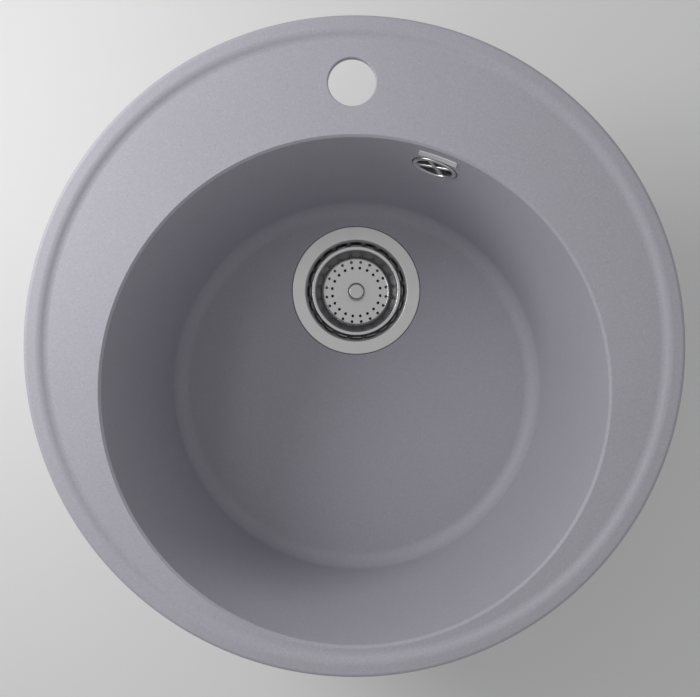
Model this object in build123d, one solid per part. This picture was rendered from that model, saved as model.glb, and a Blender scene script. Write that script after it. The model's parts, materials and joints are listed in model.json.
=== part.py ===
from build123d import *
import math
import os

# All sizes are in millimetres. Height zero is the worktop that the rim sits on, at the centre of the rim.
# +Y points to the tap at the back and +X to the right.

# Rim and deck of the casting
rim_diameter = 480.0
rim_height = 8.0
rim_edge_round = 3.0
rim_band = 10.8
rim_step = 3.0
rim_slope = 4.8
rim_blend = 8.0
front_flat = 0.5
ledge_depth = 65.8
deck_thickness = 10.0
seat_corner_round = 0.8
step_margin = 1.0

# Bowl, set towards the front so that the ledge behind it takes the tap
mouth_round = 4.5
wall_draft = 7.46
floor_round = 14.0
bowl_depth = 190.0
wall_thickness = 9.0
floor_thickness = 10.0
underside_blend = 4.0

# Tap hole, with a recess under it for the fixing of the tap
tap_hole_diameter = 35.0
tap_hole_round = 1.0
tap_inset = 30.1
tap_web = 6.0
tap_recess_margin = 10.5

# Waste cup, pressed from sheet
waste_inset = 75.9
flange_diameter = 113.0
flange_width = 11.4
flange_gap = 0.8
sheet = 1.0
flange_seal_thickness = 1.0
throat_round = 1.2
throat_clearance = 1.5
cup_depth = 38.0
cup_taper = 7.1
cup_foot_width = 6.5
cup_foot_height = 5.0
cup_round = 3.0
slot_count = 20
slot_width = 10.2
slot_height = 12.5
slot_corner = 2.0
slot_top = 6.0
drain_count = 4
drain_margin = 2.5
drain_width = 11.0
drain_sweep = 40.0

# Moulded body under the floor
body_gasket_thickness = 3.0
body_gasket_width = 10.4
body_flange_thickness = 3.5
body_flange_lip = 3.5
body_wall = 3.5
body_drop = 52.0
body_cone_drop = 64.0
outlet_thread_diameter = 47.8
outlet_bore = 40.0
outlet_end = 90.0
gusset_count = 8
gusset_thickness = 3.0
hub_diameter = 30.0
hub_gap = 1.0
hub_height = 20.0
hub_arm_count = 4
hub_arm_thickness = 3.5
hub_arm_height = 14.0

# Hollow centre screw and its nut
screw_diameter = 12.0
screw_head_diameter = 18.0
screw_head_height = 4.0
screw_length = 24.0
screw_bore = 8.2
screw_bore_depth = 11.0
coin_slot_width = 2.4
coin_slot_depth = 1.8
nut_across_flats = 19.0
nut_height = 10.0

# Strainer basket with its knob, stem and stopper
basket_sheet = 0.8
basket_clearance = 5.1
basket_rim_width = 3.5
basket_taper = 5.7
basket_rim_drop = 4.0
basket_edge = 2.0
basket_round = 3.5
basket_hole = 2.5
basket_hole_sides = 8
basket_hole_count = 20
inner_ring_inset = 8.7
outer_ring_inset = 3.4
basket_wall_rows = (0.25, 0.55)
knob_diameter = 15.2
knob_foot_diameter = 13.0
knob_waist_diameter = 9.0
knob_height = 15.0
knob_head = 6.0
knob_round = 1.5
knob_crown_round = 2.3
stem_diameter = 5.0
stem_grip = 11.0
stem_collar_diameter = 12.0
stem_collar_height = 2.3
collar_gap = 0.7
plug_length = 9.0
plug_split = 1.2
spacer_diameter = 14.0
spacer_length = 3.2
seal_web = 3.0
seal_clearance = 4.0
seal_flare = 3.5
seal_foot_width = 4.0

# Overflow in the back wall
overflow_drop = 43.0
overflow_turn = 20.2
rosette_diameter = 35.0
rosette_thickness = 2.6
rosette_round = 1.1
rosette_lip = 2.3
rosette_wall = 1.2
rosette_sleeve_length = 20.0
spoke_width = 3.0
spoke_depth = 4.0
spoke_turn = 27.0
spot_face_depth = 0.9
pad_height = 1.6
overflow_gasket_thickness = 2.5
elbow_flange_lip = 3.5
elbow_flange_thickness = 3.0
elbow_barrel_wall = 3.3
elbow_wall = 2.8
elbow_clearance = 3.8
elbow_spigot_length = 21.5

# Corrugated pipe from the elbow to the waste body, with a coupling nut and washer at each end
spigot_wall = 3.8
pipe_diameter = 22.0
pipe_wall = 1.0
pipe_gap = 0.2
pipe_insert = 12.0
pipe_cuff_margin = 8.0
rib_pitch = 5.0
rib_height = 1.5
rib_valley = 1.5
rib_flank = 0.75
inlet_depth = 55.0
inlet_stub = 19.5
pipe_corner_depth = 20.0
pipe_nut_wall = 3.5
pipe_nut_cover = 11.0
pipe_nut_lip = 3.0
grip_count = 12
grip_diameter = 3.2
washer_thickness = 3.5
washer_inset = 0.7

# Fixing clips under the deck
back_clip_angle = 42.0
side_clip_angle = 95.0
clip_inset = 13.7
worktop_thickness = 38.0
clip_sheet = 2.5
clip_width = 14.0
clip_reach = 30.0
clip_tooth = 4.5
clip_tooth_lean = 3.0
clip_heel = 10.5
clip_bend = 1.5
clip_tip_width = 7.0
clip_screw_diameter = 6.0
clip_head_across_flats = 10.0
clip_head_height = 4.0
clip_washer_diameter = 13.0
clip_washer_height = 1.2
insert_diameter = 9.0
insert_length = 14.0
boss_height = 10.0
boss_diameter = 15.0
boss_foot_diameter = 17.0

# Blank plate above the overflow
plate_length = 29.5
plate_height = 9.0
plate_thickness = 0.6
plate_gap = 0.7
plate_round = 1.0

# Clearances
thread_gap = 0.05
slip_gap = 0.1
seat_gap = 0.3
hole_gap = 0.4
heel_gap = 0.4
match_gap = 0.01

# Heights and radii that follow from the sizes above
rim_radius = rim_diameter / 2
deck_top = rim_height - rim_step
deck_bottom = deck_top - deck_thickness
floor_top = rim_height - bowl_depth
floor_bottom = floor_top - floor_thickness
draft = math.radians(wall_draft)
slope_turn = math.atan2(rim_step, rim_slope)
blend_limit = 0.49 * math.hypot(rim_step, rim_slope) / math.tan(slope_turn / 2)
blend_radius = min(rim_blend, blend_limit)
blend_run = blend_radius * math.tan(slope_turn / 2)
mouth_run = mouth_round * math.tan((math.pi / 2 - draft) / 2)
slope_foot = rim_radius - rim_band - rim_slope - blend_run
mouth_radius = slope_foot - mouth_run - (ledge_depth + front_flat) / 2
floor_radius = mouth_radius - (deck_top - floor_top) * math.tan(draft)
bowl_setback = (ledge_depth - front_flat) / 2
wall_run = wall_thickness / math.cos(draft)
step_radius = bowl_setback + mouth_radius + wall_run + step_margin
clip_radius = step_radius - clip_inset
clip_turns = {
    "back_right": back_clip_angle,
    "side_right": side_clip_angle,
    "side_left": -side_clip_angle,
    "back_left": -back_clip_angle,
}
bowl_at = (0, -bowl_setback)
waste_at = (0, floor_radius - bowl_setback - waste_inset)
tap_at = (0, slope_foot - tap_inset)
tap_recess_diameter = tap_hole_diameter + 2 * tap_recess_margin

# Waste: the cup hangs in its hole by the flange, the body closes the hole from below, and the basket in the cup
# stands on its stopper
throat_diameter = flange_diameter - 2 * flange_width
waste_hole_diameter = throat_diameter + 2 * throat_clearance
cup_foot_diameter = throat_diameter - 2 * cup_taper
cup_bottom_diameter = cup_foot_diameter - 2 * cup_foot_width
drain_ring_diameter = screw_head_diameter + 2 * drain_margin + drain_width
body_flange_diameter = waste_hole_diameter + 2 * body_gasket_width
body_diameter = body_flange_diameter - 2 * body_flange_lip
hub_top = cup_depth + sheet + hub_gap
hub_bottom = hub_top + hub_height
screw_top = screw_head_height - cup_depth
collar_low = screw_top + collar_gap
collar_top = collar_low + stem_collar_height
web_top = collar_top + seal_web
basket_floor = web_top + spacer_length + basket_sheet
basket_depth = -basket_rim_drop - basket_floor
basket_rim_diameter = throat_diameter - 2 * basket_clearance
basket_mouth_diameter = basket_rim_diameter - 2 * basket_rim_width
basket_floor_diameter = basket_mouth_diameter - 2 * basket_taper
seal_foot_diameter = cup_bottom_diameter - 2 * seal_clearance
seal_shoulder_diameter = seal_foot_diameter - 2 * seal_flare

# Overflow: the rosette screws into the elbow, and the pipe fits in the elbow's spigot
rosette_sleeve_diameter = rosette_diameter - 2 * rosette_lip
rosette_opening = rosette_sleeve_diameter - 2 * rosette_wall
elbow_barrel_diameter = rosette_sleeve_diameter + 2 * elbow_barrel_wall
elbow_flange_diameter = elbow_barrel_diameter + 2 * elbow_flange_lip
pipe_bore = pipe_diameter - 2 * (rib_height + pipe_wall)
spigot_bore = pipe_diameter + 2 * pipe_gap
spigot_diameter = spigot_bore + 2 * spigot_wall
pipe_nut_diameter = spigot_diameter + 2 * pipe_nut_wall
washer_diameter = spigot_diameter - 2 * washer_inset
pad_face = wall_thickness - spot_face_depth + pad_height
elbow_face = -pad_face - overflow_gasket_thickness
elbow_reach = elbow_flange_thickness - elbow_face + spigot_diameter / 2 + elbow_clearance
elbow_drop = elbow_barrel_diameter / 2 + elbow_spigot_length
inlet_reach = body_diameter / 2 + inlet_stub
overflow_hole = rosette_sleeve_diameter + 2 * hole_gap


def wall_radius(height):
    """Inner radius of the bowl at a height."""
    return mouth_radius - (deck_top - height) * math.tan(draft)


def turned(outline):
    """Turn a closed outline of (radius, height, corner round) about the Z axis."""
    face = make_face(Polyline(*[corner[:2] for corner in outline], close=True))
    for radius, height, rounding in outline:
        if rounding:
            corner = face.vertices().sort_by_distance((radius, height))[0]
            face = fillet(corner, rounding)
    return revolve(Plane.XZ * face, Axis.Z)


def strip(points, rounds, thickness):
    """Outline of a bent sheet whose left side lies along the points, with rounded bends."""
    path = FilletPolyline(*points, radius=rounds)
    return make_face(offset(path, amount=thickness, side=Side.LEFT))


def pressed(points, rounds, thickness):
    """Turn a bent sheet about the Z axis."""
    return revolve(Plane.XZ * strip(points, rounds, thickness), Axis.Z)


def post(diameter, low, high):
    """Upright cylinder between two heights."""
    return Pos(0, 0, low) * Cylinder(
        diameter / 2, high - low, align=(Align.CENTER, Align.CENTER, Align.MIN)
    )


def around(count, solid, start=0.0):
    """Copies of a solid, evenly spaced about the Z axis."""
    return [Rot(0, 0, start + 360 / count * step) * solid for step in range(count)]


# Seat of the overflow: local +Z points into the bowl and local +Y up the wall
overflow_height = rim_height - overflow_drop
overflow_turn_angle = math.radians(overflow_turn)
outward = Vector(math.sin(overflow_turn_angle), math.cos(overflow_turn_angle), 0)
inward = outward * -math.cos(draft) + Vector(0, 0, math.sin(draft))
along_wall = Vector(outward.Y, -outward.X, 0)
wall_point = Vector(*bowl_at, overflow_height) + outward * wall_radius(overflow_height)
overflow_seat = Plane(wall_point - inward * spot_face_depth, x_dir=along_wall, z_dir=inward)

# Route of the pipe: down along the wall from the elbow, then in to the waste body
elbow_mouth = overflow_seat.from_local_coords((0, -elbow_drop, -elbow_reach))
pipe_down = overflow_seat.y_dir * -1
corner_travel = (elbow_mouth.Z - floor_top + pipe_corner_depth) / math.cos(draft)
pipe_corner = elbow_mouth + pipe_down * corner_travel
inlet_root = Vector(*waste_at, floor_top - inlet_depth)
inlet_out = (pipe_corner - inlet_root).normalized()
inlet_mouth = inlet_root + inlet_out * inlet_reach
pipe_side = pipe_down.cross(inlet_out).normalized()
pipe_cuff = pipe_insert + washer_thickness + slip_gap + pipe_nut_lip + pipe_cuff_margin
pipe_turn = math.radians(pipe_down.get_angle(inlet_out * -1))
pipe_bend = ((pipe_corner - inlet_mouth).length + pipe_insert - pipe_cuff) / math.tan(pipe_turn / 2)
elbow_joint = Plane(elbow_mouth, x_dir=pipe_side, z_dir=pipe_down)
inlet_joint = Plane(inlet_mouth, x_dir=pipe_side, z_dir=inlet_out)


def at_clip(turn):
    """Place of a clip: the screw is upright at its origin and +X points outwards."""
    return Rot(0, 0, 90 - turn) * Pos(clip_radius, 0, 0)


def sink_bowl():
    """The casting: rim and deck about the rim's centre, bowl about its own axis."""
    slope_top = rim_radius - rim_band
    deck = turned([
        (0, deck_bottom, 0),
        (step_radius, deck_bottom, 0),
        (step_radius, 0, 0),
        (rim_radius, 0, seat_corner_round),
        (rim_radius, rim_height, rim_edge_round),
        (slope_top, rim_height, blend_radius),
        (slope_top - rim_slope, deck_top, blend_radius),
        (0, deck_top, 0),
    ])
    outer_top = wall_radius(deck_bottom) + wall_run
    flare = outer_top + 2 * underside_blend
    shell = Pos(*bowl_at) * turned([
        (0, floor_bottom, 0),
        (wall_radius(floor_bottom) + wall_run, floor_bottom, floor_round + wall_thickness),
        (outer_top, deck_bottom, underside_blend),
        (flare, deck_bottom, 0),
        (flare, 0, 0),
        (0, 0, 0),
    ])
    shell = shell & post(2 * step_radius, floor_bottom, deck_top)
    inside = Pos(*bowl_at) * turned([
        (0, floor_top, 0),
        (floor_radius, floor_top, floor_round),
        (mouth_radius, deck_top, 0),
        (mouth_radius, deck_top + rim_height, 0),
        (0, deck_top + rim_height, 0),
    ])
    boss = turned([
        (0, deck_bottom - boss_height, 0),
        (boss_diameter / 2, deck_bottom - boss_height, seat_corner_round),
        (boss_foot_diameter / 2, deck_bottom, 0),
        (boss_foot_diameter / 2, 0, 0),
        (0, 0, 0),
    ])
    pad = overflow_seat * post(elbow_flange_diameter, -pad_face, 0)
    casting = deck + shell + pad + [at_clip(turn) * boss for turn in clip_turns.values()] - inside
    mouth = casting.edges().filter_by(GeomType.CIRCLE).filter_by(
        lambda edge: abs(edge.radius - mouth_radius) < match_gap and abs(edge.center().Z - deck_top) < match_gap
    )
    casting = fillet(mouth, mouth_round)

    tap = Pos(*tap_at) * (
        post(tap_hole_diameter, deck_bottom, rim_height)
        + post(tap_recess_diameter, deck_bottom, deck_top - tap_web)
    )
    recess_drop = sheet + flange_seal_thickness
    waste = Pos(*waste_at) * (
        post(flange_diameter + 2 * flange_gap, floor_top - recess_drop, floor_top)
        + post(waste_hole_diameter, floor_bottom, floor_top)
    )
    overflow = overflow_seat * (
        post(rosette_diameter + 2 * flange_gap, 0, rosette_diameter)
        + post(overflow_hole, -pad_face - wall_thickness, 0)
    )
    insert_low = deck_bottom - boss_height
    insert_hole = post(insert_diameter + 2 * thread_gap, insert_low, insert_low + insert_length)
    casting = casting - tap - waste - overflow
    casting = casting - [at_clip(turn) * insert_hole for turn in clip_turns.values()]
    tap_edge = casting.edges().filter_by(GeomType.CIRCLE).filter_by(
        lambda edge: abs(edge.radius - tap_hole_diameter / 2) < match_gap and edge.center().Z > deck_top - match_gap
    )
    return fillet(tap_edge, tap_hole_round)


def badge_plate():
    """Thin blank plate that follows the curve of the wall."""
    climb = rosette_diameter / 2 + flange_gap + plate_gap + plate_height / 2
    height = overflow_height + climb * math.cos(draft)
    low = height - plate_height
    high = height + plate_height
    skin = Pos(*bowl_at) * turned([
        (wall_radius(low) - thread_gap, low, 0),
        (wall_radius(high) - thread_gap, high, 0),
        (wall_radius(high) - thread_gap - plate_thickness, high, 0),
        (wall_radius(low) - thread_gap - plate_thickness, low, 0),
    ])
    middle = Vector(*bowl_at, height) + outward * wall_radius(height)
    face = Plane(middle, x_dir=along_wall, z_dir=inward) * RectangleRounded(
        plate_length, plate_height, plate_round
    )
    return skin & extrude(face, wall_thickness, both=True)


def waste_cup():
    """Flange and tapered cup of pressed sheet, with slots in the wall and drain holes in the bottom."""
    cup = pressed(
        [
            (flange_diameter / 2, 0),
            (throat_diameter / 2, 0),
            (cup_foot_diameter / 2, cup_foot_height - cup_depth),
            (cup_bottom_diameter / 2, -cup_depth),
            (screw_diameter / 2 + hole_gap, -cup_depth),
        ],
        [throat_round, cup_round, cup_round],
        sheet,
    )
    slot_face = Plane((0, 0, -slot_top - slot_height / 2), x_dir=(1, 0, 0), z_dir=(0, 1, 0))
    slot = Rectangle(slot_width, slot_height)
    slot = extrude(slot_face * chamfer(slot.vertices(), slot_corner), flange_diameter / 2)
    drain = extrude(
        Pos(0, 0, -cup_depth - sheet)
        * SlotArc(CenterArc((0, 0), drain_ring_diameter / 2, 0, drain_sweep), drain_width),
        2 * sheet,
    )
    cup = cup - around(slot_count, slot) - around(drain_count, drain)
    return Pos(*waste_at, floor_top) * cup


def flange_seal():
    """Flat rubber ring in the floor's recess, under the flange."""
    low = floor_top - sheet - flange_seal_thickness
    bore = throat_diameter + 2 * (throat_round + seat_gap)
    ring = post(flange_diameter, low, floor_top - sheet) - post(bore, low, floor_top)
    return Pos(*waste_at) * ring


def body_gasket():
    """Rubber ring between the floor's underside and the waste body."""
    low = floor_bottom - body_gasket_thickness
    ring = post(body_flange_diameter, low, floor_bottom) - post(waste_hole_diameter, low, floor_bottom)
    return Pos(*waste_at) * ring


def waste_body():
    """Moulded chamber with an arm-held hub, a raked overflow inlet and a threaded outlet."""
    top = -floor_thickness - body_gasket_thickness
    flange_low = top - body_flange_thickness
    radius = body_diameter / 2
    outlet = outlet_thread_diameter / 2
    rake = math.atan2(radius - outlet, body_cone_drop - body_drop)
    shift = body_wall * math.tan((math.pi / 2 - rake) / 2)
    outside = turned([
        (0, top, 0),
        (body_flange_diameter / 2, top, 0),
        (body_flange_diameter / 2, flange_low, 0),
        (radius, flange_low, 0),
        (radius, -body_drop, body_wall),
        (outlet, -body_cone_drop, body_wall),
        (outlet, -outlet_end, 0),
        (0, -outlet_end, 0),
    ])
    inside = turned([
        (0, top, 0),
        (radius - body_wall, top, 0),
        (radius - body_wall, -body_drop + shift, 0),
        (outlet_bore / 2, -body_cone_drop + shift, 0),
        (outlet_bore / 2, -outlet_end, 0),
        (0, -outlet_end, 0),
    ])
    gusset = extrude(
        Plane.XZ
        * make_face(
            Polyline(
                (radius - body_wall / 2, flange_low),
                (body_flange_diameter / 2, flange_low),
                (radius - body_wall / 2, -body_drop + body_wall),
                close=True,
            )
        ),
        gusset_thickness / 2,
        both=True,
    )
    inlet = Plane((0, 0, -inlet_depth), x_dir=pipe_side, z_dir=inlet_out)
    inlet_turn = math.degrees(math.atan2(inlet_out.Y, inlet_out.X))
    # the first gusset stands half a step beside the inlet
    gussets = around(gusset_count, gusset, inlet_turn + 180 / gusset_count)
    spigot = inlet * post(spigot_diameter, 0, inlet_reach)
    spigot_hole = inlet * post(spigot_bore, radius / 2, inlet_reach)
    below_top = post(4 * radius, -outlet_end, flange_low)
    body = outside + gussets + (spigot & below_top) - inside - spigot_hole

    arm = Pos(0, 0, -hub_bottom) * Box(
        radius, hub_arm_thickness, hub_arm_height, align=(Align.MIN, Align.CENTER, Align.MIN)
    )
    arms = around(hub_arm_count, arm, inlet_turn + 180 / hub_arm_count)
    hub = post(hub_diameter, -hub_bottom, -hub_top) + arms
    body = body + (hub & outside)
    nut_pocket = extrude(
        Pos(0, 0, -hub_bottom) * RegularPolygon(nut_across_flats / 2 + slip_gap, 6, major_radius=False),
        nut_height,
    )
    body = body - nut_pocket - post(screw_diameter + 2 * hole_gap, -hub_bottom, -hub_top)
    return Pos(*waste_at, floor_top) * body


def centre_screw():
    """Hollow screw: its head presses on the cup's bottom and its bore takes the basket's stem."""
    solid = post(screw_head_diameter, -cup_depth, screw_top)
    solid = solid + post(screw_diameter - 2 * thread_gap, -cup_depth - screw_length, -cup_depth)
    solid = solid - post(screw_bore, screw_top - screw_bore_depth, screw_top)
    solid = solid - Pos(0, 0, screw_top) * Box(screw_head_diameter, coin_slot_width, 2 * coin_slot_depth)
    return Pos(*waste_at, floor_top) * solid


def screw_nut():
    """Hexagon nut in the pocket of the hub."""
    nut = extrude(RegularPolygon(nut_across_flats / 2, 6, major_radius=False), nut_height)
    nut = nut - post(screw_diameter, 0, nut_height)
    return Pos(*waste_at, floor_top - hub_bottom) * nut


def strainer_basket():
    """Pressed pan with a turned rim, drilled in rings on its floor and wall."""
    mouth = basket_mouth_diameter / 2
    floor_edge = basket_floor_diameter / 2
    pan = pressed(
        [
            (basket_rim_diameter / 2, -basket_rim_drop - basket_edge),
            (basket_rim_diameter / 2, -basket_rim_drop),
            (mouth, -basket_rim_drop),
            (floor_edge, basket_floor),
            (stem_diameter / 2 + slip_gap, basket_floor),
        ],
        [1.2 * basket_sheet, 2 * basket_sheet, basket_round],
        basket_sheet,
    )
    drill = extrude(RegularPolygon(basket_hole / 2, basket_hole_sides), 3 * basket_sheet, both=True)
    drills = []
    for inset in (inner_ring_inset, outer_ring_inset):
        drills.append(Pos(0, floor_edge - inset, basket_floor) * drill)
    wall_lean = math.degrees(math.atan2(mouth - floor_edge, basket_depth))
    for share in basket_wall_rows:
        place = Pos(0, floor_edge + share * (mouth - floor_edge), basket_floor + share * basket_depth)
        drills.append(place * Rot(90 - wall_lean, 0, 0) * drill)
    half_step = 180 / basket_hole_count
    for placed in drills:
        pan = pan - around(basket_hole_count, placed, half_step)
    return Pos(*waste_at, floor_top) * pan


def basket_knob():
    """Waisted knob, screwed on the stem."""
    bore = stem_diameter / 2 + thread_gap
    top = basket_floor + knob_height
    knob = turned([
        (bore, basket_floor, 0),
        (knob_foot_diameter / 2, basket_floor, 0),
        (knob_waist_diameter / 2, basket_floor + knob_head / 2, knob_round),
        (knob_waist_diameter / 2, top - knob_head, knob_round),
        (knob_diameter / 2, top - knob_head / 2, knob_round),
        (knob_diameter / 2, top, knob_crown_round),
        (0, top, 0),
        (0, basket_floor + stem_grip, 0),
        (bore, basket_floor + stem_grip, 0),
    ])
    return Pos(*waste_at, floor_top) * knob


def basket_stem():
    """Stem with a collar under the stopper and a split plug that springs into the hollow screw."""
    plug_radius = screw_bore / 2 - slip_gap
    plug_low = collar_low - plug_length
    stem = turned([
        (0, plug_low, 0),
        (plug_radius, plug_low, plug_radius / 3),
        (plug_radius, collar_low, 0),
        (stem_collar_diameter / 2, collar_low, 0),
        (stem_collar_diameter / 2, collar_top, 0),
        (stem_diameter / 2, collar_top, 0),
        (stem_diameter / 2, basket_floor + stem_grip - seat_gap, 0),
        (0, basket_floor + stem_grip - seat_gap, 0),
    ])
    split = Pos(0, 0, plug_low) * Box(screw_bore, plug_split, 2 * (plug_length - stem_collar_height))
    return Pos(*waste_at, floor_top) * (stem - around(4, split)[:2])


def stem_spacer():
    """Bush that holds the stopper below the basket."""
    top = basket_floor - basket_sheet
    bush = post(spacer_diameter, web_top, top) - post(stem_diameter + 2 * slip_gap, web_top, top)
    return Pos(*waste_at, floor_top) * bush


def basket_seal():
    """Rubber stopper, a shallow upturned cup that closes over the drain holes."""
    foot = seat_gap - cup_depth
    bore = stem_diameter / 2 + slip_gap
    seal = turned([
        (bore, web_top, 0),
        (seal_shoulder_diameter / 2, web_top, seal_web / 2),
        (seal_foot_diameter / 2, foot, 0),
        (seal_foot_diameter / 2 - seal_foot_width, foot, 0),
        (seal_shoulder_diameter / 2 - seal_web, collar_top, seal_web / 3),
        (bore, collar_top, 0),
    ])
    return Pos(*waste_at, floor_top) * seal


def overflow_rosette():
    """Ring with a cross of spokes and a sleeve that screws into the elbow."""
    opening = rosette_opening / 2
    sleeve = rosette_sleeve_diameter / 2
    ring = turned([
        (opening, -rosette_sleeve_length, 0),
        (sleeve, -rosette_sleeve_length, 0),
        (sleeve, 0, 0),
        (rosette_diameter / 2, 0, 0),
        (rosette_diameter / 2, rosette_thickness, rosette_round),
        (opening, rosette_thickness, rosette_round),
    ])
    spoke = Pos(0, 0, rosette_thickness - spoke_depth / 2 - rosette_round) * Box(
        rosette_opening + rosette_round, spoke_width, spoke_depth
    )
    cross = [Rot(0, 0, spoke_turn + quarter) * spoke for quarter in (0, 90)]
    return overflow_seat * (ring + cross)


def overflow_gasket():
    """Rubber ring between the casting's pad and the elbow."""
    ring = post(elbow_flange_diameter, elbow_face, -pad_face) - post(overflow_hole, elbow_face, -pad_face)
    return overflow_seat * ring


def overflow_elbow():
    """Moulded elbow behind the wall, with a closed barrel and a spigot down along the wall."""
    barrel_end = -elbow_reach - spigot_diameter / 2
    socket = rosette_sleeve_diameter + 2 * thread_gap
    outside = turned([
        (0, barrel_end, 0),
        (elbow_barrel_diameter / 2, barrel_end, elbow_wall),
        (elbow_barrel_diameter / 2, elbow_face - elbow_flange_thickness, 0),
        (elbow_flange_diameter / 2, elbow_face - elbow_flange_thickness, 0),
        (elbow_flange_diameter / 2, elbow_face, 0),
        (0, elbow_face, 0),
    ])
    spigot_place = Plane((0, 0, -elbow_reach), x_dir=(1, 0, 0), z_dir=(0, -1, 0))
    spigot = spigot_place * post(spigot_diameter, 0, elbow_drop)
    spigot_hole = spigot_place * post(spigot_bore, 0, elbow_drop)
    elbow = outside + spigot - post(socket, barrel_end + elbow_wall, elbow_face) - spigot_hole
    return overflow_seat * elbow


def overflow_pipe():
    """Corrugated pipe with plain cuffs, bent once between the two couplings."""
    upper_end = elbow_mouth - pipe_down * pipe_insert
    lower_end = inlet_mouth - inlet_out * pipe_insert
    route = FilletPolyline(upper_end, pipe_corner, lower_end, radius=pipe_bend)
    length = route.length
    crest = pipe_diameter / 2
    valley = crest - rib_height
    rib_count = int((length - 2 * pipe_cuff) // rib_pitch)
    first = (length - rib_count * rib_pitch) / 2
    rings = [(0, crest), (first, crest)]
    for rib in range(rib_count):
        start = first + rib * rib_pitch
        rings.append((start + rib_flank, valley))
        rings.append((start + rib_flank + rib_valley, valley))
        rings.append((start + 2 * rib_flank + rib_valley, crest))
        rings.append((start + rib_pitch, crest))
    rings.append((length, crest))
    sections = []
    for travel, radius in rings:
        place = Plane(
            route.position_at(travel / length), x_dir=pipe_side, z_dir=route.tangent_at(travel / length)
        )
        sections.append(place * Circle(radius))
    skin = loft(sections, ruled=True)
    start = Plane(upper_end, x_dir=pipe_side, z_dir=pipe_down)
    return skin - sweep(start * Circle(pipe_bore / 2), path=route)


def pipe_nut(joint):
    """Coupling nut with grip ribs, around the spigot's mouth at a joint."""
    shoulder = washer_thickness + slip_gap
    top = shoulder + pipe_nut_lip
    nut = post(pipe_nut_diameter - grip_diameter, -pipe_nut_cover, top)
    grip = Pos((pipe_nut_diameter - grip_diameter) / 2, 0, 0) * post(grip_diameter, -pipe_nut_cover, top)
    nut = nut + around(grip_count, grip)
    nut = nut - post(spigot_diameter + 2 * thread_gap, -pipe_nut_cover, shoulder)
    return joint * (nut - post(pipe_diameter + 2 * seat_gap, shoulder, top))


def pipe_washer(joint):
    """Cone washer between the spigot's mouth and the nut."""
    bore = pipe_diameter / 2 + slip_gap
    washer = turned([
        (bore, 0, 0),
        (washer_diameter / 2, 0, 0),
        (bore + 0.6 * (washer_diameter / 2 - bore), washer_thickness, 0),
        (bore, washer_thickness, 0),
    ])
    return joint * washer


def clip_inserts():
    """Threaded inserts in the bosses, one for each clip."""
    low = deck_bottom - boss_height
    insert = post(insert_diameter, low, low + insert_length)
    insert = insert - post(clip_screw_diameter, low, low + insert_length)
    return Compound([at_clip(turn) * insert for turn in clip_turns.values()])


bar_middle = -worktop_thickness - clip_tooth
bar_bottom = bar_middle - clip_sheet


def clip_screw(turn):
    """Hexagon screw with a pressed washer under the clip."""
    washer_top = bar_bottom - thread_gap
    head_top = washer_top - clip_washer_height
    shank_top = deck_bottom - boss_height + insert_length - 2 * seat_gap
    screw = post(clip_screw_diameter - 2 * thread_gap, head_top, shank_top)
    screw = screw + post(clip_washer_diameter, head_top, washer_top)
    head = RegularPolygon(clip_head_across_flats / 2, 6, major_radius=False)
    screw = screw + extrude(Pos(0, 0, head_top - clip_head_height) * head, clip_head_height)
    return at_clip(turn) * screw


def clip(turn):
    """Bent steel clip: a heel under the deck, a bar on the screw and a tooth under the worktop."""
    side = strip(
        [
            (clip_reach, -worktop_thickness),
            (clip_reach - clip_tooth_lean, bar_middle),
            (-clip_heel, bar_middle),
            (-clip_heel, deck_bottom - heel_gap),
        ],
        [clip_bend, clip_bend],
        clip_sheet,
    )
    bar = extrude(Plane.XZ * side, clip_width / 2, both=True)
    plan = make_face(
        Polyline(
            (-clip_reach, -clip_width / 2),
            (clip_reach / 2, -clip_width / 2),
            (clip_reach + clip_sheet, -clip_tip_width / 2),
            (clip_reach + clip_sheet, clip_tip_width / 2),
            (clip_reach / 2, clip_width / 2),
            (-clip_reach, clip_width / 2),
            close=True,
        )
    )
    bar = bar & extrude(Pos(0, 0, bar_bottom - clip_sheet) * plan, 2 * worktop_thickness)
    hole = post(clip_screw_diameter + 2 * slip_gap, bar_bottom - clip_sheet, bar_middle + clip_sheet)
    return at_clip(turn) * (bar - hole)


pieces = {
    "sink_bowl": sink_bowl(),
    "badge_plate": badge_plate(),
    "waste_cup": waste_cup(),
    "flange_seal": flange_seal(),
    "body_gasket": body_gasket(),
    "waste_body": waste_body(),
    "centre_screw": centre_screw(),
    "screw_nut": screw_nut(),
    "strainer_basket": strainer_basket(),
    "basket_knob": basket_knob(),
    "basket_stem": basket_stem(),
    "stem_spacer": stem_spacer(),
    "basket_seal": basket_seal(),
    "overflow_rosette": overflow_rosette(),
    "overflow_gasket": overflow_gasket(),
    "overflow_elbow": overflow_elbow(),
    "overflow_pipe": overflow_pipe(),
    "pipe_nut_upper": pipe_nut(elbow_joint),
    "pipe_nut_lower": pipe_nut(inlet_joint),
    "pipe_washer_upper": pipe_washer(elbow_joint),
    "pipe_washer_lower": pipe_washer(inlet_joint),
    "clip_inserts": clip_inserts(),
}
for place, turn in clip_turns.items():
    pieces[f"clip_screw_{place}"] = clip_screw(turn)
    pieces[f"clip_{place}"] = clip(turn)

os.makedirs("parts", exist_ok=True)
for node, solid in pieces.items():
    export_step(solid, f"parts/{node}.step")
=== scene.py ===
import json
import math

import bmesh
import bpy
from mathutils import Matrix, Vector


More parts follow.
